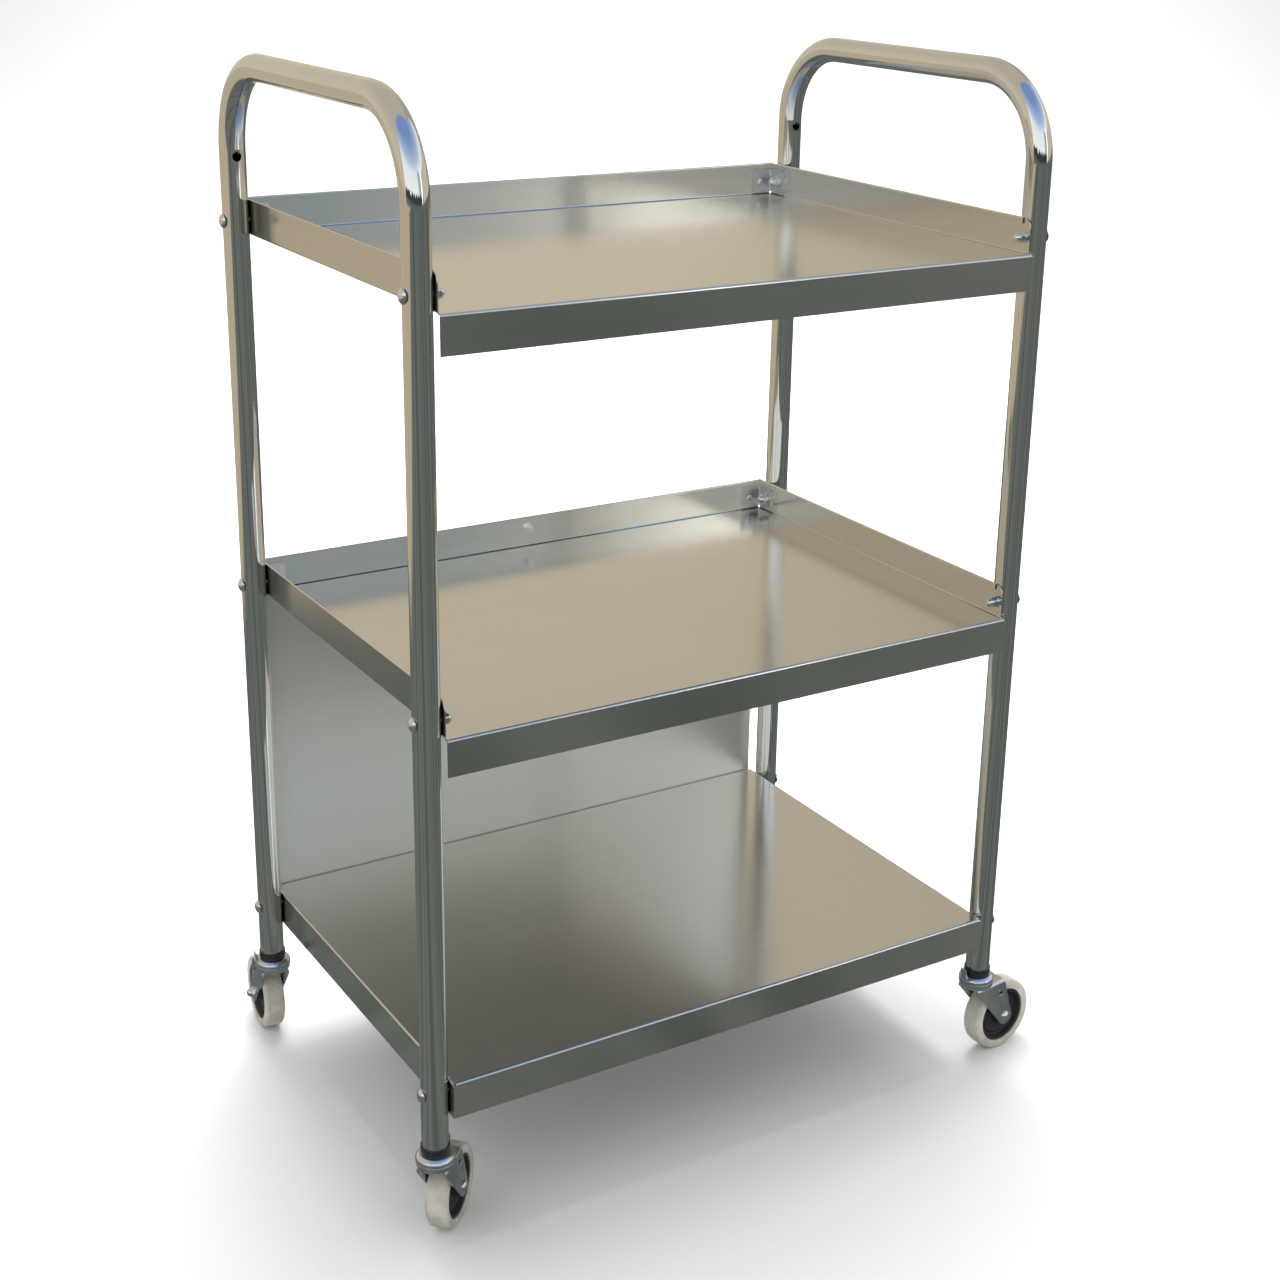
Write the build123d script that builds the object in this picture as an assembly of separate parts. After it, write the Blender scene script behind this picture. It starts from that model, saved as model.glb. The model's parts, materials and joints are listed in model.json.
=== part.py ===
from build123d import *
from math import cos, radians, sin
import os

# Food service trolley: two bent-tube end frames carry two lipped trays and a bottom shelf.
# A sheet closes the back of the lower bay, and four swivel casters stand under the legs.
# Millimetres, +Z up, +X to the right and +Y to the back. The model is drawn about the middle
# of the frame on the floor, and moved at the end so that the origin is the middle of its box.

# ---- driving dimensions -------------------------------------------------------------------
tube_radius = 12.5
tube_wall = 1.5
frame_x = 320.0              # centre plane of each end frame, either side of the middle
leg_y = 203.0                # front and rear legs of a frame, either side of the middle
bar_height = 1038.5          # centre line of the handle bar
frame_bend = 80.0            # bend radius of the tube's centre line
leg_bottom = 108.5           # open lower end of each tube

sheet = 1.0                  # thickness of every shelf and of the back panel
bend_inside = 1.5            # inside radius of a folded sheet
shelf_half_depth = 218.0
shelf_half_width = frame_x - tube_radius
tray_floors = {"top_tray": 877.0, "middle_tray": 511.0}
shelf_top = 174.0
lip_height = 33.0
hem_depth = 6.0              # strip folded back inside the top of a lip
hem_width = 2.5              # both layers of the hem with the gap between them
hem_gap = 0.1                # air left between the two layers by the fold's inside radius
front_flange = 34.7
shelf_flange = 35.7
lip_setback = 5.0            # side lips stop this far behind the front face
lip_corner = 10.0            # rounded front corner of a side lip
joint_gap = 0.2              # between sheet edges that meet at a corner

bracket_leg = 25.0
bracket_sheet = 1.5
bracket_foot = 2.2           # lower edge of a bracket above the tray floor
bracket_top = 26.8
rivet_inset = 15.5           # rivet from the bracket's corner
rivet_height = 13.0          # rivet above the tray floor
rivet_radius = 2.0
rivet_head = 3.2
rivet_head_height = 1.1
rivet_bulb = 3.0             # length of the bulb behind the sheets
rivet_bore = 0.9             # hole left by the pulled pin
bracket_corner = 2.5         # rounded corners of a bracket

bolt_radius = 3.0
bolt_hole = 3.2
bolt_head_radius = 6.75
bolt_head_height = 4.0
washer_radius = 6.0
washer_height = 1.2
nut_flats = 10.0
nut_height = 4.6
nut_dome = 4.5               # radius of the closed end of a dome nut
bolt_above_floor = 14.0
bolt_below_shelf = 12.0

panel_half_width = 304.0
panel_bottom = 145.0
panel_top = 541.0
panel_bolt_heights = (532.0, 156.0)
panel_bolt_radius = 2.5
panel_bolt_length = 9.5
panel_head_radius = 4.9
panel_head_height = 2.8
panel_washer_radius = 5.0
panel_washer_height = 1.0
panel_nut_flats = 8.0
panel_nut_height = 3.8
panel_hole = 2.7

vent_hole_radius = 4.5       # drain and vent hole in each rear leg
vent_hole_height = 952.0

wheel_radius = 40.0
tyre_width = 21.5
tyre_edge = 4.0
hub_radius = 30.3
hub_boss = 10.0
bush_radius = 6.0
axle_radius = 4.0
trail = 35.0                 # axle behind the swivel axis
stem_radius = 5.0
stem_reach = 36.0            # stem above the lower end of the tube
stem_head_radius = 8.0
spigot_length = 38.0         # part of the plug inside the tube
spigot_ribs = 4
rib_pitch = 8.0
race_radius = 18.5
lug_width = 8.0              # small upright lug on the fixed race
ball_radius = 2.9
ball_circle = 12.5
ball_count = 12
collar_radius = 13.7
collar_bottom = 99.5
race_split = 92.85           # level of the ball centres, between the two races
race_gap = 0.3               # open line between the races
crown_top = 87.2
crown_sheet = 2.2
crown_overhang = 11.0        # front of the fork's flat top, ahead of the swivel axis
hood_end = 30.0              # rear end of the flat top, behind the swivel axis
slot_width = 5.5             # tool slot through both fork plates
slot_height = 8.0
slot_tilt = 12.0
slot_above_axle = 33.5
slot_before_axle = 10.0
fork_half_gap = 12.5         # inner faces of the fork plates
fork_end_radius = 9.5        # round end of a fork plate about the axle
fork_bend = 1.3              # inside radius where a fork plate leaves the crown
axle_head_radius = 5.6
axle_head_height = 3.2
axle_nut_height = 1.6
axle_thread = 3.2            # thread beyond the fork plate, inside the closed nut
running_fit = 0.06           # radial play of a pin in its hole
wheel_side_play = 0.3        # hub boss to fork plate

caster_headings = {          # direction in which each caster trails, from +X towards +Y
    "front_left": 44.0,
    "front_right": 6.0,
    "rear_left": 85.0,
    "rear_right": 65.0,
}
ear_headings = {             # direction of the small lug on each fixed race
    "front_left": 30.0,
    "front_right": 180.0,
    "rear_left": 175.0,
    "rear_right": 20.0,
}

parts = {}


# ---- small shared shapes ------------------------------------------------------------------
def turned(points):
    """A solid of revolution about Z from (radius, height) points, joined by straight lines."""
    outline = make_face(Polyline(*[(r, 0, z) for r, z in points], close=True))
    return revolve(outline, Axis.Z)


def along_x(solid, x, y, z, direction=1):
    """Stands a solid drawn along +Z on the point, pointing along +X or -X."""
    turn = Rotation(0, 90 * direction, 0)
    return Pos(x, y, z) * turn * solid


def along_y(solid, x, y, z, direction=1):
    """Stands a solid drawn along +Z on the point, pointing along +Y or -Y."""
    turn = Rotation(-90 * direction, 0, 0)
    return Pos(x, y, z) * turn * solid


def peg(radius, bottom, top):
    """A plain cylinder about Z between two heights."""
    stand = (Align.CENTER, Align.CENTER, Align.MIN)
    return Pos(0, 0, bottom) * Cylinder(radius, top - bottom, align=stand)


def dome(radius, height, bottom=0.0):
    """A cap of a sphere about Z, its flat side down."""
    ball = (radius**2 + height**2) / (2 * height)
    cap = Pos(0, 0, bottom + height - ball) * Sphere(ball)
    return cap & peg(radius + 1, bottom, bottom + height + 1)


def domed_bolt(shank, length, head_radius, head_height):
    """Head on the +Z side with its flat at z = 0, shank running down."""
    rim = 0.8
    head = peg(head_radius, 0, rim) + dome(head_radius, head_height - rim, rim)
    pin = chamfer(peg(shank, -length, 0).edges().group_by(Axis.Z)[0], 0.5)
    return head + pin


def washer(bore):
    """Flat ring standing on z = 0."""
    return peg(washer_radius, 0, washer_height) - peg(bore, -1, washer_height + 1)


def dome_nut(bore, flats, height, cap_radius):
    """Hexagon with a closed round end, threaded bore from below, standing on z = 0."""
    hexagon = extrude(RegularPolygon(flats / 2, 6, major_radius=False), height)
    corner = peg(flats / 2 * 1.1, 0, height)
    cap = peg(cap_radius, 0, height) + Pos(0, 0, height) * (
        Sphere(cap_radius) & peg(cap_radius + 1, 0, cap_radius + 1)
    )
    return (hexagon & corner) + cap - peg(bore, -1, height + cap_radius / 2)


def box_between(low, high):
    """A block from its lowest to its highest corner."""
    size = [b - a for a, b in zip(low, high)]
    return Pos(*low) * Box(*size, align=(Align.MIN, Align.MIN, Align.MIN))


def folded(points, radii, plane, start, end):
    """Sheet metal: the outer line of the fold, thickened inwards and extruded along the fold."""
    outer = FilletPolyline(*points, radius=radii)
    strip = make_face(offset(outer, amount=sheet, side=Side.LEFT))
    return Pos(*(plane.z_dir * start)) * extrude(plane * strip, end - start)


# planes whose normal is the fold line: the first draws (y, z), the second (x, z)
across = Plane(origin=(0, 0, 0), x_dir=(0, 1, 0), z_dir=(1, 0, 0))
lengthways = Plane(origin=(0, 0, 0), x_dir=(1, 0, 0), z_dir=(0, -1, 0))


# ---- end frames ---------------------------------------------------------------------------
leg_bolt_heights = [floor + bolt_above_floor for floor in tray_floors.values()]
leg_bolt_heights.append(shelf_top - bolt_below_shelf)


def end_frame(x):
    """One tube bent into an inverted U, drilled for the leg bolts."""
    path = FilletPolyline(
        (x, -leg_y, leg_bottom),
        (x, -leg_y, bar_height),
        (x, leg_y, bar_height),
        (x, leg_y, leg_bottom),
        radius=frame_bend,
    )
    ring = Circle(tube_radius) - Circle(tube_radius - tube_wall)
    tube = sweep(Pos(x, -leg_y, leg_bottom) * ring, path=path)
    for y in (-leg_y, leg_y):
        for z in leg_bolt_heights:
            tube -= along_x(peg(bolt_hole, -2 * tube_radius, 2 * tube_radius), x, y, z)
    tube -= along_y(peg(vent_hole_radius, 0, 2 * tube_radius), x, leg_y, vent_hole_height, -1)
    return tube


parts["left_frame"] = end_frame(-frame_x)
parts["right_frame"] = end_frame(frame_x)


# ---- trays --------------------------------------------------------------------------------
fold = bend_inside + sheet   # outer radius of a bend
hem_bend = (hem_width - hem_gap) / 2
rivet_x = shelf_half_width - sheet - rivet_inset


def tray(floor):
    """Folded tray: front flange down, lips up on three sides, with a hem inside the lips."""
    w, d = shelf_half_width, shelf_half_depth
    back_lip = [(-d + sheet, -front_flange), (-d + sheet, -sheet), (d, -sheet), (d, lip_height)]
    body = folded(back_lip, [bend_inside, fold], across, -w + fold, w - fold)

    # side lips, with the floor between them, behind the front setback
    side_lips = [(-w, lip_height), (-w, -sheet), (w, -sheet), (w, lip_height)]
    body += folded(side_lips, fold, lengthways, -d + fold, d - lip_setback)

    # the front flange and the edge of the floor run the full width
    front = [(-d + sheet, -front_flange), (-d + sheet, -sheet), (-d + lip_setback, -sheet)]
    body += folded(front, bend_inside, across, -w, w)

    # rear corners: the back lip covers the ends of the side lips, above a small relief notch
    for side in (-1, 1):
        inner, outer = sorted((side * (w - fold), side * w))
        body += box_between((inner, d - sheet, fold), (outer, d, lip_height))
        inner, outer = sorted((side * (w - sheet), side * w))
        body += box_between((inner, d - fold, fold), (outer, d - sheet - joint_gap, lip_height))

    # hems: a strip folded over the top of each lip
    hem_end = joint_gap + fold
    hem = [(d, bracket_top), (d, lip_height), (d - hem_width, lip_height)]
    hem.append((d - hem_width, lip_height - hem_depth))
    body += folded(hem, hem_bend, across, -w + hem_end, w - hem_end)
    round_y = -d + lip_setback + lip_corner
    for side in (-1, 1):
        hem = [(w, bracket_top), (w, lip_height), (w - hem_width, lip_height)]
        hem.append((w - hem_width, lip_height - hem_depth))
        strip = folded(hem, hem_bend, lengthways, -d + hem_end, -round_y)
        body += strip if side > 0 else mirror(strip, about=Plane.YZ)

    # rounded front corners of the side lips
    round_z = lip_height - lip_corner
    corner = box_between((-w - 1, round_y - lip_corner - 1, round_z), (w + 1, round_y, lip_height + 1))
    corner -= along_x(peg(lip_corner, -w - 1, w + 1), 0, round_y, round_z)
    body -= corner

    for y in (-leg_y, leg_y):
        body -= along_x(peg(bolt_hole, -w - 1, w + 1), 0, y, bolt_above_floor)
    for x in (-rivet_x, rivet_x):
        body -= along_y(peg(rivet_radius, -fold, fold), x, d, rivet_height)
    return Pos(0, 0, floor) * body


for name, floor in tray_floors.items():
    parts[name] = tray(floor)
middle_floor = tray_floors["middle_tray"]
panel_hole_tool = along_y(peg(panel_hole, -2 * fold, 2 * fold), 0, shelf_half_depth, 0)
parts["middle_tray"] -= Pos(0, 0, panel_bolt_heights[0]) * panel_hole_tool


# ---- bottom shelf and back panel ----------------------------------------------------------
def flat_shelf():
    """Shelf with flanges folded down on all four sides."""
    w, d = shelf_half_width, shelf_half_depth
    pans = [(d, w, across), (w, d, lengthways)]
    body = None
    for reach, run, plane in pans:
        line = [(-reach + sheet, -shelf_flange), (-reach + sheet, -sheet)]
        line += [(reach - sheet, -sheet), (reach - sheet, -shelf_flange)]
        pan = folded(line, bend_inside, plane, -run + fold, run - fold)
        body = pan if body is None else body + pan

    # corners: the front and rear flanges run on past the ends of the side flanges
    for side in (-1, 1):
        for end in (-1, 1):
            x = sorted((side * (w - fold), side * w))
            y = sorted((end * (d - sheet), end * d))
            body += box_between((x[0], y[0], -shelf_flange), (x[1], y[1], -fold))
            x = sorted((side * (w - sheet), side * w))
            y = sorted((end * (d - fold), end * (d - sheet - joint_gap)))
            body += box_between((x[0], y[0], -shelf_flange), (x[1], y[1], -fold))

    for y in (-leg_y, leg_y):
        body -= along_x(peg(bolt_hole, -w - 1, w + 1), 0, y, -bolt_below_shelf)
    return Pos(0, 0, shelf_top) * body - Pos(0, 0, panel_bolt_heights[1]) * panel_hole_tool


parts["bottom_shelf"] = flat_shelf()

panel = box_between(
    (-panel_half_width, shelf_half_depth, panel_bottom),
    (panel_half_width, shelf_half_depth + sheet, panel_top),
)
for z in panel_bolt_heights:
    panel -= Pos(0, 0, z) * panel_hole_tool
for x in (-rivet_x, rivet_x):
    hole = peg(rivet_radius, -fold, fold)
    panel -= along_y(hole, x, shelf_half_depth, middle_floor + rivet_height)
parts["back_panel"] = panel


# ---- corner brackets and their rivets -----------------------------------------------------
def corner_bracket():
    """Angle bracket for the left rear corner of a tray, above its floor."""
    x, y = -shelf_half_width + sheet, shelf_half_depth - sheet
    line = FilletPolyline((x, y - bracket_leg), (x, y), (x + bracket_leg, y), radius=2 * bracket_sheet)
    strip = make_face(offset(line, amount=bracket_sheet, side=Side.RIGHT))
    body = Pos(0, 0, bracket_foot) * extrude(strip, bracket_top - bracket_foot)
    ends = body.edges().filter_by(lambda edge: abs(edge.length - bracket_sheet) < 0.01)
    ends = ends.filter_by(lambda edge: abs(edge.tangent_at(0.5).Z) < 0.01)
    body = fillet(ends, bracket_corner)
    body -= along_x(peg(bolt_hole, 0, 3 * bracket_sheet), x - bracket_sheet, leg_y, bolt_above_floor)
    body -= along_y(peg(rivet_radius, 0, 3 * bracket_sheet), -rivet_x, y + bracket_sheet, rivet_height, -1)
    return body


def blind_rivet(grip):
    """Pulled rivet along +Y: hollow domed head in front of the sheets, bulb behind them."""
    rim = 0.3
    tail = grip + rivet_bulb
    rivet = peg(rivet_head, 0, rim) + dome(rivet_head, rivet_head_height - rim, rim)
    rivet = mirror(rivet, about=Plane.XY)
    rivet += peg(rivet_radius, -rim, grip + rim)
    rivet += turned([(0, grip), (2.6, grip), (2.9, grip + 1.2), (2.2, tail), (0, tail)])
    return rivet - peg(rivet_bore, -rivet_head_height - 1, grip / 2)


left_bracket = corner_bracket()
right_bracket = mirror(left_bracket, about=Plane.YZ)
rivets = []
for name, floor in tray_floors.items():
    parts[f"{name}_left_bracket"] = Pos(0, 0, floor) * left_bracket
    parts[f"{name}_right_bracket"] = Pos(0, 0, floor) * right_bracket
    layers = 2 if name == "middle_tray" else 1
    rivet = blind_rivet(bracket_sheet + layers * sheet)
    head_y = shelf_half_depth - sheet - bracket_sheet
    for x in (-rivet_x, rivet_x):
        rivets.append(along_y(rivet, x, head_y, floor + rivet_height))
parts["bracket_rivets"] = Compound(rivets)


# ---- bolts, washers and dome nuts ---------------------------------------------------------
outside_x = frame_x + tube_radius
inside_x = shelf_half_width - sheet
bolts = []
washers = []
nuts = []
for side in (-1, 1):
    for y in (-leg_y, leg_y):
        for z in leg_bolt_heights:
            bracketed = y > 0 and z > shelf_top
            seat_x = inside_x - (bracket_sheet if bracketed else 0.0)
            nut_x = seat_x - washer_height
            shank = outside_x - nut_x + nut_height
            bolt = domed_bolt(bolt_radius, shank, bolt_head_radius, bolt_head_height)
            bolts.append(along_x(bolt, side * outside_x, y, z, side))
            washers.append(along_x(washer(bolt_radius + running_fit), side * seat_x, y, z, -side))
            nut = dome_nut(bolt_radius + running_fit, nut_flats, nut_height, nut_dome)
            nuts.append(along_x(nut, side * nut_x, y, z, -side))
parts["frame_bolts"] = Compound(bolts)
parts["bolt_washers"] = Compound(washers)
parts["dome_nuts"] = Compound(nuts)

panel_bore = peg(panel_bolt_radius + running_fit, -1, panel_nut_height + 1)
panel_nut = extrude(RegularPolygon(panel_nut_flats / 2, 6, major_radius=False), panel_nut_height)
panel_nut -= panel_bore
panel_washer = peg(panel_washer_radius, 0, panel_washer_height) - panel_bore
panel_bolt = domed_bolt(panel_bolt_radius, panel_bolt_length, panel_head_radius, panel_head_height)
lip_y = shelf_half_depth - sheet
panel_bolt_parts = {"panel_bolts": [], "panel_washers": [], "panel_nuts": []}
for z in panel_bolt_heights:
    panel_bolt_parts["panel_bolts"].append(along_y(panel_bolt, 0, shelf_half_depth + sheet, z))
    panel_bolt_parts["panel_washers"].append(along_y(panel_washer, 0, lip_y, z, -1))
    panel_bolt_parts["panel_nuts"].append(along_y(panel_nut, 0, lip_y - panel_washer_height, z, -1))
for name, group in panel_bolt_parts.items():
    parts[name] = Compound(group)


# ---- casters ------------------------------------------------------------------------------
# Drawn on the swivel axis, heights above the floor, with the wheel trailing along +X.
def leg_plug():
    """Moulded plug: a collar under the tube and a ribbed spigot inside it."""
    spigot_top = leg_bottom + spigot_length
    bore = stem_radius + running_fit
    rib = tube_radius - tube_wall - 0.05
    core = rib - 1.0
    outline = [(bore, collar_bottom), (collar_radius - 1.2, collar_bottom)]
    outline += [(collar_radius, collar_bottom + 1.5), (collar_radius, leg_bottom - 0.8)]
    outline += [(collar_radius - 0.8, leg_bottom), (rib, leg_bottom)]
    for k in range(spigot_ribs):
        z = leg_bottom + rib_pitch * (k + 0.5)
        outline += [(rib, z), (core, z + 1), (core, z + 4), (rib, z + 5)]
    outline += [(rib, spigot_top - 2), (rib - 2, spigot_top), (bore, spigot_top)]
    return turned(outline)


def caster_stem():
    """Kingpin: a round head under the crown and a plain stem up into the plug."""
    head_top = crown_top - crown_sheet - 0.1
    stem_top = leg_bottom + stem_reach
    outline = [(0, head_top - 4), (5, head_top - 3.6)]
    outline += [(stem_head_radius, head_top - 1.6), (stem_head_radius, head_top)]
    outline += [(stem_radius, head_top), (stem_radius, stem_top - 2)]
    outline += [(stem_radius - 1.5, stem_top), (0, stem_top)]
    return turned(outline)


groove = Pos(0, 0, race_split) * Torus(ball_circle, ball_radius + running_fit)


def top_race(ear_heading):
    """Pressed cup over the balls, with a small upright lug at its rim."""
    bottom, top = race_split + race_gap / 2, collar_bottom
    bore = stem_radius + 0.02
    outline = [(bore, bottom), (race_radius, bottom), (race_radius, top - 3.4)]
    outline += [(race_radius - 0.9, top - 1.6), (race_radius - 3.2, top), (bore, top)]
    cup = turned(outline) - groove
    lug = [(14.9, top - 3.0), (17.4, top - 3.0), (19.6, top + 8.5), (18.2, top + 8.9), (15.8, top + 0.5)]
    lug = make_face(Polyline(*[(r, 0, z) for r, z in lug], close=True))
    lug = Pos(0, lug_width / 2, 0) * extrude(lug, lug_width, dir=(0, -1, 0))
    return Rotation(0, 0, ear_heading) * (cup + lug)


def bearing_balls():
    """Ring of balls between the two races."""
    ball = Pos(ball_circle, 0, race_split) * Sphere(ball_radius)
    return Compound([Rotation(0, 0, 360 / ball_count * k) * ball for k in range(ball_count)])


def fork():
    """Pressed fork: crown disc with the lower race, hood over the wheel and two tapered plates."""
    plate_y = fork_half_gap + crown_sheet
    bend = fork_bend + crown_sheet
    inner = FilletPolyline(
        (-fork_half_gap, 0),
        (-fork_half_gap, crown_top - crown_sheet),
        (fork_half_gap, crown_top - crown_sheet),
        (fork_half_gap, 0),
        radius=fork_bend,
    )
    section = across * make_face(offset(inner, amount=crown_sheet, side=Side.LEFT))
    channel = Pos(-race_radius, 0, 0) * extrude(section, 3 * race_radius + trail)

    # side view: tapers from the crown to a round end about the axle
    front = -crown_overhang
    crown_line = Polyline((front, crown_top - 6), (front, crown_top), (hood_end, crown_top))
    end_circle = Pos(trail, wheel_radius) * Circle(fork_end_radius)
    side = make_hull(crown_line.edges() + end_circle.edges())
    far_side = Plane(origin=(0, plate_y + 1, 0), x_dir=(1, 0, 0), z_dir=(0, -1, 0))
    body = channel & extrude(far_side * side, 2 * plate_y + 2)

    # crown disc, carrying the lower race with its rolled edge
    race_top = race_split - race_gap / 2
    disc = [(0, crown_top - crown_sheet), (race_radius - 2.5, crown_top - crown_sheet)]
    disc += [(race_radius - 0.6, crown_top - 1.0), (race_radius, crown_top + 1.2)]
    disc += [(race_radius, race_top - 1.0), (race_radius - 0.8, race_top), (0, race_top)]
    body += turned(disc)
    body -= peg(stem_radius + running_fit, 0, race_top + 1)
    body -= groove
    body -= along_y(peg(axle_radius + running_fit, -plate_y - 1, plate_y + 1), trail, 0, wheel_radius)
    slot = Rotation(0, -slot_tilt, 0) * Box(slot_width, 4 * plate_y, slot_height)
    return body - Pos(trail - slot_before_axle, 0, wheel_radius + slot_above_axle) * slot


def axle_bolt():
    """Domed bolt across the fork, its head on the -Y plate."""
    reach = fork_half_gap + crown_sheet
    bolt = domed_bolt(axle_radius, 2 * reach + axle_thread, axle_head_radius, axle_head_height)
    return along_y(bolt, trail, -reach, wheel_radius, -1)


def axle_nut():
    """Closed nut on the +Y plate."""
    bore = axle_radius + running_fit
    nut = dome_nut(bore, 2 * axle_head_radius, axle_nut_height, 0.9 * axle_head_radius)
    return along_y(nut, trail, fork_half_gap + crown_sheet, wheel_radius)


def axle_bush():
    """Steel sleeve that the hub turns on, clamped between the fork plates."""
    half = fork_half_gap - 0.05
    ring = peg(bush_radius, -half, half) - peg(axle_radius + running_fit, -half - 1, half + 1)
    return along_y(ring, trail, 0, wheel_radius)


def wheel_hub():
    """Moulded hub: boss, thin stepped web and a deep rim."""
    boss = fork_half_gap - wheel_side_play
    half = [(bush_radius + running_fit, boss), (hub_boss, boss), (hub_boss + 0.8, 4.5)]
    half += [(19.0, 3.2), (19.6, 5.0), (22.4, 5.0), (23.0, 3.2), (26.6, 3.4), (27.4, 9.2), (hub_radius, 9.2)]
    whole = half + [(r, -y) for r, y in reversed(half)]
    return Pos(trail, 0, wheel_radius) * Rotation(90, 0, 0) * turned(whole)


def wheel_tyre():
    """Tyre moulded round the hub, its tread edges rounded."""
    bore = hub_radius + 0.05
    section = Rectangle(wheel_radius - bore, tyre_width)
    section = fillet(section.vertices().group_by(Axis.X)[-1], tyre_edge)
    section = fillet(section.vertices().group_by(Axis.X)[0], 0.6)
    section = Plane.XZ * Pos((wheel_radius + bore) / 2, 0) * section
    return Pos(trail, 0, wheel_radius) * Rotation(90, 0, 0) * revolve(section, Axis.Z)


fixed_pieces = {"leg_plug": leg_plug(), "stem": caster_stem(), "bearing_balls": bearing_balls()}
turning_pieces = {
    "fork": fork(),
    "axle_bolt": axle_bolt(),
    "axle_nut": axle_nut(),
    "axle_bush": axle_bush(),
    "hub": wheel_hub(),
    "tyre": wheel_tyre(),
}
for corner, heading in caster_headings.items():
    leg = Pos(
        frame_x if "right" in corner else -frame_x,
        leg_y if "rear" in corner else -leg_y,
        0,
    )
    for name, piece in fixed_pieces.items():
        parts[f"{corner}_{name}"] = leg * piece
    parts[f"{corner}_top_race"] = leg * top_race(ear_headings[corner])
    for name, piece in turning_pieces.items():
        parts[f"{corner}_{name}"] = leg * Rotation(0, 0, heading) * piece

# ---- origin at the middle of the whole box, on the floor -----------------------------------
boxes = [piece.bounding_box() for piece in parts.values()]
middle_x = (min(box.min.X for box in boxes) + max(box.max.X for box in boxes)) / 2
middle_y = (min(box.min.Y for box in boxes) + max(box.max.Y for box in boxes)) / 2
to_origin = Pos(-middle_x, -middle_y, 0)

os.makedirs("parts", exist_ok=True)
for name, piece in parts.items():
    export_step(to_origin * piece, f"parts/{name}.step")
print(f"{len(parts)} parts, moved by {-middle_x:.3f}, {-middle_y:.3f}")
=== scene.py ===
import bmesh
import bpy
import json
import math
from mathutils import Matrix, Vector


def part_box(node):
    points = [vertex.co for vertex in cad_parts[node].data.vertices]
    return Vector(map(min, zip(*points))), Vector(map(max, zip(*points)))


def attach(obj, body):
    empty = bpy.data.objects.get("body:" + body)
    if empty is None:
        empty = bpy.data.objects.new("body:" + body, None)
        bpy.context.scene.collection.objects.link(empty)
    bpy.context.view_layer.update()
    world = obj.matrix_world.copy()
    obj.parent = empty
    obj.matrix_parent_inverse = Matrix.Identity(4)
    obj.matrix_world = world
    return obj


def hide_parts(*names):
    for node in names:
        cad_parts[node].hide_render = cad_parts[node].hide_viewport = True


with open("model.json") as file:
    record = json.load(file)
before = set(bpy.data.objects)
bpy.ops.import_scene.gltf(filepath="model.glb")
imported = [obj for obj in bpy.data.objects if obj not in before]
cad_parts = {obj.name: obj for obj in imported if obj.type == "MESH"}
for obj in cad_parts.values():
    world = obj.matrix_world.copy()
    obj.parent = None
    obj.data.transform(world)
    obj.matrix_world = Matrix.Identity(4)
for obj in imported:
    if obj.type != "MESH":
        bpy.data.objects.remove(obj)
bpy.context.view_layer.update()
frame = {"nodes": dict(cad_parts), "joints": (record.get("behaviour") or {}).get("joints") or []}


# ---- Viewpoint -------------------------------------------------------------------------
# A plain camera at standing height, to the left of the trolley's front, turned a degree
# about its own axis. The trolley's middle is the middle of its top tray.
tray_low, tray_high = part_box("top_tray")
middle = (tray_low + tray_high) / 2
middle.z = 0
camera_data = bpy.data.cameras.new("view_camera")
camera_data.sensor_width = 36
camera_data.lens = 56.4
camera_data.shift_x = -0.019
camera_data.shift_y = -0.063
camera = bpy.data.objects.new("view_camera", camera_data)
bpy.context.scene.collection.objects.link(camera)
eye = Vector((-0.979, -1.635, 1.202))
heading, dip, roll = (math.radians(a) for a in (31.96, 18.63, 1.1))
aim = Matrix.Rotation(-heading, 4, "Z") @ Matrix.Rotation(math.pi / 2 - dip, 4, "X")
camera.matrix_world = Matrix.Translation(middle + eye) @ aim @ Matrix.Rotation(roll, 4, "Z")
bpy.context.scene.camera = camera


# ---- Studio ----------------------------------------------------------------------------
# A plain pale floor that sweeps up into a low backdrop behind the trolley, lit from above by
# three soft boxes. Bright metal mirrors its surroundings and not this floor: grey ground in
# front, a sand-coloured wall behind, and open sky above dark hedges in front.
sweep_start, sweep_run, sweep_height = 3.4, 1.6, 1.7


def ground(x, y):
    """Height of the sweep at a point: flat, then rising beyond a line behind the trolley."""
    away = (x - middle.x) * math.sin(heading) + (y - middle.y) * math.cos(heading)
    rise = min(max((away - sweep_start) / sweep_run, 0.0), 1.0)
    return sweep_height * (1.0 - math.sqrt(1.0 - rise * rise))


steps, reach = 120, 9.0
spots = [reach * (2 * k / steps - 1) for k in range(steps + 1)]
squares = [row * (steps + 1) + k for row in range(steps) for k in range(steps)]
floor_mesh = bpy.data.meshes.new("floor")
floor_mesh.from_pydata(
    [(x, y, ground(x, y)) for y in spots for x in spots],
    [],
    [(k, k + 1, k + steps + 2, k + steps + 1) for k in squares],
)
floor_mesh.shade_smooth()
floor = bpy.data.objects.new("floor", floor_mesh)
floor.visible_glossy = False
bpy.context.scene.collection.objects.link(floor)

yard_mesh = bpy.data.meshes.new("yard")
yard_reach, yard_level = 14.0, -0.002
signs = [(-1, -1), (1, -1), (1, 1), (-1, 1)]
yard_mesh.from_pydata([(yard_reach * a, yard_reach * b, yard_level) for a, b in signs], [], [(0, 1, 2, 3)])
yard = bpy.data.objects.new("yard", yard_mesh)
yard.visible_camera = yard.visible_diffuse = yard.visible_shadow = False
yard.visible_transmission = yard.visible_volume_scatter = False
bpy.context.scene.collection.objects.link(yard)


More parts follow.
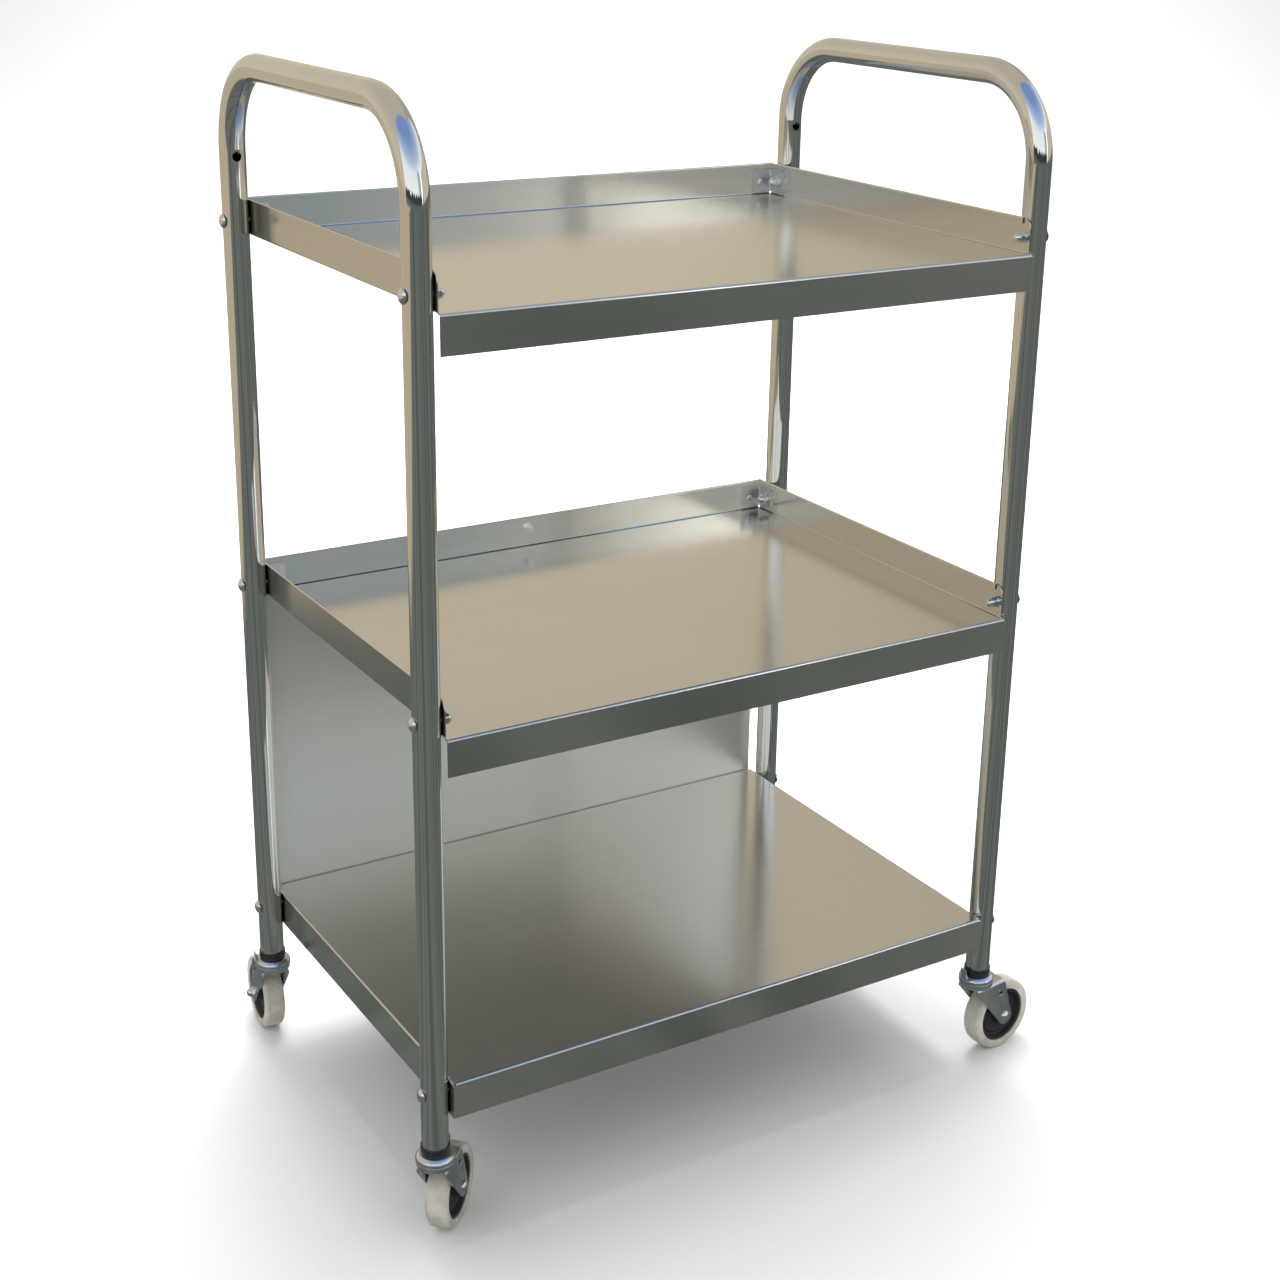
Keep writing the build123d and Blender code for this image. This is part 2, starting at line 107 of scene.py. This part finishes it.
class Wire:
    """A shader socket. Arithmetic on it adds Math nodes, and node() adds any other."""

    def __init__(self, tree, socket=None):
        self.tree = tree
        self.socket = socket

    def node(self, kind, settings=None, links=None, out=0):
        """Adds a node of that type, sets it up, feeds its inputs and returns one output."""
        made = self.tree.nodes.new("ShaderNode" + kind)
        for name, value in (settings or {}).items():
            if name == "stops":
                ramp = made.color_ramp
                while len(ramp.elements) < len(value):
                    ramp.elements.new(0.5)
                for stop, (position, color) in zip(ramp.elements, value):
                    stop.position = position
                    stop.color = (*color, 1.0)
            else:
                setattr(made, name, value)
        for name, value in (links or {}).items():
            self.feed(made.inputs[name], value)
        return Wire(self.tree, made.outputs[out])

    def feed(self, socket, value):
        """Links a wire to an input, or sets the input to a number or a colour."""
        if isinstance(value, Wire):
            self.tree.links.new(value.socket, socket)
        elif isinstance(value, tuple) and socket.type == "RGBA":
            socket.default_value = (*value[:3], 1.0)
        else:
            socket.default_value = value

    def maths(self, operation, *values):
        """Adds a Math node of that operation, fed with the values in order."""
        return self.node("Math", {"operation": operation}, dict(enumerate(values)))

    def __add__(self, other):
        return self.maths("ADD", self, other)

    def __sub__(self, other):
        return self.maths("SUBTRACT", self, other)

    def __rsub__(self, other):
        return self.maths("SUBTRACT", other, self)

    def __mul__(self, other):
        return self.maths("MULTIPLY", self, other)

    __radd__ = __add__
    __rmul__ = __mul__

    def between(self, low, high):
        """0 below low, 1 above high, and a smooth step between them."""
        settings = {"interpolation_type": "SMOOTHSTEP"}
        return self.node("MapRange", settings, {"Value": self, "From Min": low, "From Max": high})

    def mix(self, first, second):
        """A colour between two, with this wire as the factor."""
        return self.node("Mix", {"data_type": "RGBA"}, {0: self, 6: first, 7: second}, 2)

    def noise(self, scale, detail=2.0, stretch=(1.0, 1.0, 1.0)):
        """Noise read at this wire's place, squeezed along each axis by the stretch."""
        place = self.node("VectorMath", {"operation": "MULTIPLY"}, {0: self, 1: stretch})
        return place.node("TexNoise", None, {"Vector": place, "Scale": scale, "Detail": detail}, "Fac")


def new_finish(name, **fixed):
    """A material with one Principled shader, and the wire of its Object coordinates."""
    material = bpy.data.materials.new(name)
    material.use_nodes = True
    shader = material.node_tree.nodes["Principled BSDF"]
    for socket, value in fixed.items():
        Wire(material.node_tree).feed(shader.inputs[socket.replace("_", " ")], value)
    place = Wire(material.node_tree).node("TexCoord", out="Object")
    return material, shader, place


def bump(place, height, depth, shader):
    """Presses a height wire into a shader's surface, to a depth in metres."""
    place.feed(shader.inputs["Normal"], place.node("Bump", None, {"Height": height, "Distance": depth}))


floor_finish, shader, place = new_finish("pale_floor", Roughness=0.8, Specular_IOR_Level=0.2)
tone = place.noise(1.5, 2.0)
place.feed(shader.inputs["Base Color"], tone.mix((0.82, 0.82, 0.81), (0.85, 0.85, 0.84)))
floor_mesh.materials.append(floor_finish)

# The ground that the metal mirrors: grey near by, sand-coloured beyond it at the back and left.
sand = (0.56, 0.48, 0.36)
yard_finish, shader, place = new_finish("yard_ground", Base_Color=(0, 0, 0), Specular_IOR_Level=0.0)
shader.inputs["Emission Strength"].default_value = 1.0
to_sand = (-0.62, 0.78, 0.0)
away = place.node("VectorMath", {"operation": "DOT_PRODUCT"}, {0: place, 1: to_sand}, "Value")
sandy = away.between(1.5, 2.0)
around = place.node("VectorMath", {"operation": "NORMALIZE"}, {0: place}).noise(5.0, 3.0)
paving = around.between(0.36, 0.64).mix((0.105, 0.122, 0.115), (0.175, 0.19, 0.178))
place.feed(shader.inputs["Emission Color"], sandy.mix(paving, sand))
yard_mesh.materials.append(yard_finish)

# the surroundings: a wall behind, and a sky, a hedge and the corner of a house in front
world = bpy.data.worlds.new("studio")
bpy.context.scene.world = world
world.use_nodes = True
sky = Wire(world.node_tree)
direction = sky.node("TexCoord", out="Generated")
x, y, z = (direction.node("SeparateXYZ", None, {0: direction}, axis) for axis in ("X", "Y", "Z"))
blue = [
    (0.16, (1.1, 1.12, 1.1)),
    (0.44, (0.95, 1.04, 1.12)),
    (0.60, (0.5, 0.65, 0.92)),
    (0.88, (0.22, 0.34, 0.66)),
]
heavens = z.node("ValToRGB", {"stops": blue}, {0: z})
leaf_height = 0.34
leaves = direction.noise(7.0, 3.0, (1.0, 1.0, 0.3)) * leaf_height - leaf_height / 2
hedge = 1.0 - (z + leaves).between(0.08, 0.12)
hedge_green, glare_white = (0.04, 0.055, 0.045), (3.6, 3.6, 3.5)
front = (x.between(0.5, 0.9) * 0.4 - y).between(0.02, 0.07)
glare = x.between(0.51, 0.52) * (1.0 - x.between(0.55, 0.56)) * (1.0 - z.between(0.42, 0.5))
house = x.between(0.62, 0.66) * (1.0 - z.between(0.34, 0.40))
cloud_cover = 0.85
cloud = x.between(0.1, 0.25) * (1.0 - x.between(0.58, 0.64)) * (1.0 - z.between(0.40, 0.50))
haze = x.between(0.38, 0.50).mix((0.30, 0.40, 0.47), (0.52, 0.51, 0.47))
heavens = (cloud * cloud_cover).mix(heavens, haze)
sunny = z.between(0.1, 0.9).mix((0.68, 0.60, 0.465), (0.54, 0.50, 0.42))
shaded = x.between(0.48, 0.74) * front.maths("LESS_THAN", front, 0.5)
wall = shaded.mix(sunny, (0.44, 0.40, 0.31))
garden = glare.mix(hedge.mix(heavens, hedge_green), glare_white)
room = front.mix(wall, house.mix(garden, wall))
right = x.between(-0.1, 0.1)
paved = right + front - right * front
below = paved.mix(sand, (0.14, 0.155, 0.145))
room = z.between(-0.03, 0.0).mix(below, room)
seen = sky.node("LightPath", out="Is Camera Ray")
mirrored = sky.node("LightPath", out="Is Glossy Ray")
even_light, white = (0.85, 0.85, 0.85), (1.0, 1.0, 1.0)
colour = seen.mix(mirrored.mix(even_light, room), white)
sky.feed(world.node_tree.nodes["Background"].inputs["Color"], colour)
bpy.context.scene.view_settings.view_transform = "Standard"


def soft_box(name, place, aim, size, power, color, spread=180.0):
    """A rectangular area light at a place, looking at a point."""
    data = bpy.data.lights.new(name, "AREA")
    data.shape = "RECTANGLE"
    data.size, data.size_y = size
    data.energy = power
    data.color = color
    data.spread = math.radians(spread)
    light = bpy.data.objects.new(name, data)
    light.location = place
    light.rotation_euler = (Vector(aim) - Vector(place)).to_track_quat("-Z", "Y").to_euler()
    light.visible_glossy = False
    bpy.context.scene.collection.objects.link(light)


soft_box("floor_box", (1.3, 2.4, 3.4), (1.3, 2.41, 0.0), (3.4, 2.8), 75, (1.0, 1.0, 0.99), 90)
soft_box("top_box", (0.2, 0.4, 2.9), (0.2, 0.41, 0.0), (1.4, 1.4), 16, (0.98, 0.99, 1.0), 75)
soft_box("sky_box", (-2.2, -1.6, 3.2), (0.0, 0.0, 0.9), (1.6, 1.2), 12, (0.70, 0.84, 1.0))


# ---- End frames ------------------------------------------------------------------------
# Each end is one 25 mm steel tube, bent into an inverted U, drilled and chromed bright. The
# plate is thin and clear, and only faint smears dull it.
chrome, shader, place = new_finish("bright_chrome", Metallic=1.0)
smear = place.noise(9.0, 4.0, (1.0, 1.0, 0.4))
grime = place.noise(60.0, 5.0)
place.feed(shader.inputs["Base Color"], smear.mix((0.70, 0.71, 0.69), (0.80, 0.79, 0.76)))
dullness = smear.between(0.35, 0.8) * 0.05 + grime.between(0.5, 0.9) * 0.06 + 0.045
place.feed(shader.inputs["Roughness"], dullness)
bump(place, place.noise(22.0, 2.0, (1.0, 1.0, 0.5)), 0.00025, shader)


def finish_nodes(finish, *names):
    """Gives CAD nodes a finish."""
    for name in names:
        mesh = frame["nodes"][name].data
        mesh.materials.clear()
        mesh.materials.append(finish)


finish_nodes(chrome, "left_frame", "right_frame")


# ---- Shelves and back panel ------------------------------------------------------------
# Satin stainless sheet, 1 mm thick, cut and folded, with a grain that runs along the trolley
# and a surface that is a little uneven. The panel is flat, of a duller sheet, and bolted on.
stainless, shader, place = new_finish("satin_stainless", Metallic=1.0)
grain = place.noise(170.0, 3.0, (0.02, 1.0, 0.6))
clouds = place.noise(3.0, 3.0)
tint = (clouds * 0.65 + grain * 0.35).mix((0.62, 0.61, 0.57), (0.76, 0.735, 0.685))
place.feed(shader.inputs["Base Color"], tint)
place.feed(shader.inputs["Roughness"], clouds.between(0.3, 0.7) * 0.05 + grain * 0.05 + 0.13)
bump(place, grain * 0.08 + place.noise(2.2, 1.0) * 9.0, 0.00012, shader)
finish_nodes(stainless, "top_tray", "middle_tray", "bottom_shelf")

dull_sheet, shader, place = new_finish("dull_stainless", Metallic=0.75)
clouds = place.noise(3.0, 3.0)
streaks = place.noise(40.0, 2.0, (0.05, 0.05, 1.0))
tint = (clouds * 0.6 + streaks * 0.4).mix((0.77, 0.74, 0.67), (0.87, 0.84, 0.77))
place.feed(shader.inputs["Base Color"], tint)
place.feed(shader.inputs["Roughness"], clouds.between(0.3, 0.7) * 0.06 + streaks * 0.04 + 0.29)
finish_nodes(dull_sheet, "back_panel")


# ---- Brackets and fasteners ------------------------------------------------------------
# Pressed brackets and bright-plated bolts, washers and nuts. The plate is smooth on the
# round heads and a little frosted on the flat pressings.
plate, shader, place = new_finish("bright_plate", Metallic=1.0)
frost = place.noise(220.0, 4.0)
place.feed(shader.inputs["Base Color"], frost.mix((0.72, 0.73, 0.72), (0.86, 0.86, 0.84)))
place.feed(shader.inputs["Roughness"], frost.between(0.3, 0.8) * 0.12 + 0.12)
bump(place, frost, 0.00003, shader)

bracket_zinc, shader, place = new_finish("bracket_zinc", Metallic=1.0)
frost = place.noise(90.0, 5.0)
place.feed(shader.inputs["Base Color"], frost.mix((0.60, 0.61, 0.60), (0.76, 0.76, 0.74)))
place.feed(shader.inputs["Roughness"], frost.between(0.3, 0.8) * 0.12 + 0.29)
bump(place, frost, 0.00008, shader)

finish_nodes(bracket_zinc, *(name for name in frame["nodes"] if name.endswith("bracket")))
finish_nodes(plate, "frame_bolts", "bolt_washers", "dome_nuts", "bracket_rivets")
finish_nodes(plate, "panel_bolts", "panel_washers", "panel_nuts")


# ---- Casters ---------------------------------------------------------------------------
# Zinc-plated pressings on a plain stem, in a black moulded plug. The wheel is a dark
# moulded hub in a light grey rubber tyre, on a bolt with domed ends.
pressing, shader, place = new_finish("zinc_pressing", Metallic=1.0)
cloud = place.noise(45.0, 4.0)
place.feed(shader.inputs["Base Color"], cloud.mix((0.62, 0.66, 0.70), (0.80, 0.83, 0.86)))
place.feed(shader.inputs["Roughness"], cloud.between(0.3, 0.75) * 0.12 + 0.20)
bump(place, cloud, 0.0001, shader)

black_plug, shader, place = new_finish("black_plug", Coat_Weight=0.6, Coat_Roughness=0.1)
scuff = place.noise(70.0, 4.0)
place.feed(shader.inputs["Base Color"], scuff.mix((0.008, 0.010, 0.009), (0.022, 0.024, 0.022)))
place.feed(shader.inputs["Roughness"], scuff.between(0.4, 0.8) * 0.2 + 0.22)
bump(place, scuff, 0.00006, shader)

dark_hub, shader, place = new_finish("dark_hub")
scuff = place.noise(50.0, 5.0)
place.feed(shader.inputs["Base Color"], scuff.mix((0.016, 0.014, 0.014), (0.036, 0.031, 0.030)))
place.feed(shader.inputs["Roughness"], scuff.between(0.4, 0.8) * 0.2 + 0.34)
bump(place, scuff, 0.0001, shader)

grey_tyre, shader, place = new_finish("grey_tyre", Specular_IOR_Level=0.35)
wear = place.noise(38.0, 6.0)
speck = place.noise(400.0, 3.0)
rubber = (wear * 0.7 + speck * 0.3).between(0.3, 0.72).mix((0.40, 0.375, 0.31), (0.62, 0.60, 0.53))
place.feed(shader.inputs["Base Color"], rubber)
place.feed(shader.inputs["Roughness"], wear * 0.25 + 0.5)
bump(place, wear * 0.6 + speck * 0.4, 0.00015, shader)

mm = 0.001
wheel_steps = 96
stem_bore, axle_bore, race_bore = 5.06, 4.06, 5.02


def new_piece(name, points, edges, faces):
    """An object at the origin, from points in millimetres."""
    mesh = bpy.data.meshes.new(name)
    mesh.from_pydata([tuple(mm * c for c in point) for point in points], edges, faces)
    piece = bpy.data.objects.new(name, mesh)
    bpy.context.scene.collection.objects.link(piece)
    return piece


def modify(piece, kind, **settings):
    """Adds a modifier of that kind and sets it up."""
    made = piece.modifiers.new(kind.lower(), kind)
    for name, value in settings.items():
        setattr(made, name, value)


def applied(piece, crease=38.0):
    """Applies a piece's stack, turns its faces outwards and shades it smooth up to a crease."""
    graph = bpy.context.evaluated_depsgraph_get()
    mesh = bpy.data.meshes.new_from_object(piece.evaluated_get(graph))
    piece.modifiers.clear()
    piece.data = mesh
    shell = bmesh.new()
    shell.from_mesh(mesh)
    bmesh.ops.recalc_face_normals(shell, faces=shell.faces)
    shell.to_mesh(mesh)
    shell.free()
    mesh.shade_smooth()
    mesh.set_sharp_from_angle(angle=math.radians(crease))
    return piece


def turned(name, section, steps=72):
    """A piece turned about Z: (radius, height, rounding) points from its top to its bottom."""
    closed = section[0][0] > 0
    count = len(section)
    edges = [(k, (k + 1) % count) for k in range(count if closed else count - 1)]
    piece = new_piece(name, [(r, 0, z) for r, z, _ in section], edges, [])
    largest = max(rounding for _, _, rounding in section)
    weights = piece.data.attributes.new("bevel_weight_vert", "FLOAT", "POINT")
    for weight, (_, _, rounding) in zip(weights.data, section):
        weight.value = rounding / largest
    modify(piece, "BEVEL", affect="VERTICES", limit_method="WEIGHT", width=largest * mm, segments=4)
    modify(piece, "SCREW", steps=steps, render_steps=steps, use_merge_vertices=True, merge_threshold=1e-6)
    return applied(piece)


def arc(x, z, radius, start, end, points):
    """Points on an arc about (x, z), between two angles in degrees."""
    angles = [math.radians(start + (end - start) * k / (points - 1)) for k in range(points)]
    return [(x + radius * math.cos(a), z + radius * math.sin(a)) for a in angles]


# the wheel: sections of one half, mirrored to the other side of the rim
def whole(half):
    """A section of both sides of a wheel from the section of its upper half."""
    return half + [(r, -z, rounding) for r, z, rounding in reversed(half)]


tread = [(30.35, 10.3, 0.4), (31.6, 10.75, 0.9), (39.75, 10.75, 3.6), (40.0, 3.0, 0.0)]
tyre = turned("tyre", whole(tread), wheel_steps)
boss = [(6.06, 12.2, 0.3), (10.0, 12.2, 0.7), (11.0, 4.5, 1.5)]
web = [(18.6, 3.2, 0.8), (19.4, 5.0, 0.7), (22.6, 5.0, 0.7), (23.4, 3.2, 0.8), (26.4, 3.4, 1.2)]
rim = [(27.4, 9.2, 0.6), (30.3, 9.2, 0.4)]
hub = turned("hub", whole([*boss, *web, *rim]), wheel_steps)

# the bearing: two pressed races round a ring of balls, under the plug in the tube
ball_circle, ball_level, groove = 12.5, 92.85, 2.96
over = [(r, z, 0.0) for r, z in arc(ball_circle, ball_level, groove, 3, 177, 9)]
under = [(r, z, 0.0) for r, z in arc(ball_circle, ball_level, groove, 183, 357, 9)]
race_top, race_foot, bowl_top, bowl_foot, race_rim = 99.5, 93.0, 92.7, 84.6, 18.5
cup = [(15.0, race_top, 1.2), (17.6, 97.6, 1.5), (race_rim, 95.6, 0.9), (race_rim, race_foot, 0.3)]
race = turned("race", [(race_bore, race_top, 0.2), *cup, *over, (race_bore, race_foot, 0.2)])
side = [(race_rim, bowl_top, 0.4), (race_rim, 89.6, 2.2), (17.0, 85.6, 1.8), (14.4, bowl_foot, 1.0)]
bowl = turned("bowl", [(stem_bore, bowl_top, 0.2), *under, *side, (stem_bore, bowl_foot, 0.3)])

plug_top, rib, core, pitch, chamfer = 146.5, 10.95, 9.95, 8.0, 2
lowest_rib = [(rib, 117.5), (core, 116.5), (core, 113.5), (rib, 112.5)]
ribs = [(r, z + pitch * k, 0.2) for k in reversed(range(4)) for r, z in lowest_rib]
nose = [(stem_bore, plug_top, 0.2), (rib - chamfer, plug_top, 0.3), (rib, plug_top - chamfer, 0.3)]
collar = [(rib, 108.5, 0.0), (13.7, 108.5, 0.7), (13.7, race_top, 1.4), (stem_bore, race_top, 0.2)]
plug = turned("plug", [*nose, *ribs, *collar])


def facing_plates(name, outline, half_width, walls):
    """Two plates of one outline, facing each other, joined by walls along some of its edges."""
    count = len(outline)
    points = [(x, y, z) for y in (-half_width, half_width) for x, z in outline]
    plates = [tuple(range(count)), tuple(reversed(range(count, 2 * count)))]
    joins = [(k, k + count, (k + 1) % count + count, (k + 1) % count) for k in walls]
    return new_piece(name, points, [], plates + joins)


# the lug: a small ear bent up from the rim of the upper race
lug_outline = [(14.9, 96.5), (17.4, 96.5), (19.6, 108.0), (18.2, 108.4), (15.8, 100.0)]
lug = facing_plates("lug", lug_outline, 4.0, range(len(lug_outline)))
modify(lug, "BEVEL", width=0.5 * mm, segments=3, limit_method="ANGLE", angle_limit=math.radians(25))
applied(lug)

# the fork: one sheet folded down on both sides, tapering to a round end about the axle
trail, axle_level, end_radius, fork_sheet = 35.0, 40.0, 9.5, 2.2
fork_half, hood_level = 13.6, 86.1
front_top, front_low, rear_top = (-11.0, hood_level), (-11.0, 81.2), (30.0, hood_level)


def touching(x, z, side):
    """Angle on the fork's round end where a line from a point touches it."""
    to_point = math.atan2(z - axle_level, x - trail)
    return math.degrees(to_point + side * math.acos(end_radius / math.hypot(x - trail, z - axle_level)))


round_end = arc(trail, axle_level, end_radius, touching(*front_low, 1), touching(*rear_top, -1) + 360, 13)
outline = [front_top, front_low, *round_end, rear_top]
fork = facing_plates("fork", outline, fork_half, [len(outline) - 1])

# the fork's holes, for the stem and the axle, and a slot through both plates
cutter_mesh = bmesh.new()
stem_hole = Matrix.Translation((0, 0, 86 * mm))
axle_hole = Matrix.Translation((trail * mm, 0, axle_level * mm)) @ Matrix.Rotation(math.pi / 2, 4, "X")
for hole, radius, depth in ((stem_hole, stem_bore, 12.0), (axle_hole, axle_bore, 40.0)):
    sizes = {"radius1": radius * mm, "radius2": radius * mm, "depth": depth * mm}
    bmesh.ops.create_cone(cutter_mesh, cap_ends=True, segments=32, matrix=hole, **sizes)
slot_trail, slot_level, slot_lean = 25, 73.5, math.radians(-12)
slot_place = Matrix.Translation((slot_trail * mm, 0, slot_level * mm)) @ Matrix.Rotation(slot_lean, 4, "Y")
slot_size = Matrix.Diagonal((5.5 * mm, 60 * mm, 8 * mm, 1))
bmesh.ops.create_cube(cutter_mesh, size=1.0, matrix=slot_place @ slot_size)
cutter = new_piece("fork_cutter", [], [], [])
cutter_mesh.to_mesh(cutter.data)
cutter_mesh.free()
modify(fork, "BEVEL", width=3.4 * mm, segments=5, limit_method="ANGLE", angle_limit=math.radians(60))
modify(fork, "SOLIDIFY", thickness=fork_sheet * mm, offset=0, use_even_offset=True)
modify(fork, "BOOLEAN", object=cutter, operation="DIFFERENCE", solver="EXACT")
modify(fork, "BEVEL", width=0.35 * mm, segments=2, limit_method="ANGLE", angle_limit=math.radians(50))
applied(fork)
bpy.data.objects.remove(cutter)

caster_pieces = {  # piece: its finish, its slot, the CAD node that it stands for, what it rides on
    tyre: (grey_tyre, "grey_tyre", "tyre", "wheel"),
    hub: (dark_hub, "dark_hub", "hub", "wheel"),
    bowl: (pressing, "zinc_pressing", "fork", "swivel"),
    fork: (pressing, "zinc_pressing", "fork", "swivel"),
    race: (pressing, "zinc_pressing", "top_race", "lug"),
    lug: (pressing, "zinc_pressing", "top_race", "lug"),
    plug: (black_plug, "black_plug", "leg_plug", "leg"),
}
lug_headings = {"front_left": 30, "front_right": 180, "rear_left": 175, "rear_right": 20}
joints = {joint["name"]: joint for joint in frame["joints"]}
for corner, lug_heading in lug_headings.items():
    swivel = Vector(joints[f"{corner}_swivel_turn"]["pos_m"])
    axle = Vector(joints[f"{corner}_wheel_spin"]["pos_m"])
    leg = Matrix.Translation((swivel.x, swivel.y, 0))
    trailing = math.atan2(axle.y - swivel.y, axle.x - swivel.x)
    turned_leg = leg @ Matrix.Rotation(trailing, 4, "Z")
    places = {
        "leg": leg,
        "lug": leg @ Matrix.Rotation(math.radians(lug_heading), 4, "Z"),
        "swivel": turned_leg,
        "wheel": turned_leg @ axle_hole,
    }
    for made, (finish, slot, node, rides) in caster_pieces.items():
        piece = bpy.data.objects.new(f"{corner}_caster_{made.name}", made.data.copy())
        bpy.context.scene.collection.objects.link(piece)
        piece.data.transform(places[rides])
        piece.data.materials.append(finish)
        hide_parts(f"{corner}_{node}")
        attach(piece, f"{corner}_{rides}" if rides in ("swivel", "wheel") else "cart")
    finish_nodes(pressing, f"{corner}_stem", f"{corner}_axle_bush")
    finish_nodes(plate, f"{corner}_axle_bolt", f"{corner}_axle_nut", f"{corner}_bearing_balls")
for made in caster_pieces:
    bpy.data.objects.remove(made)
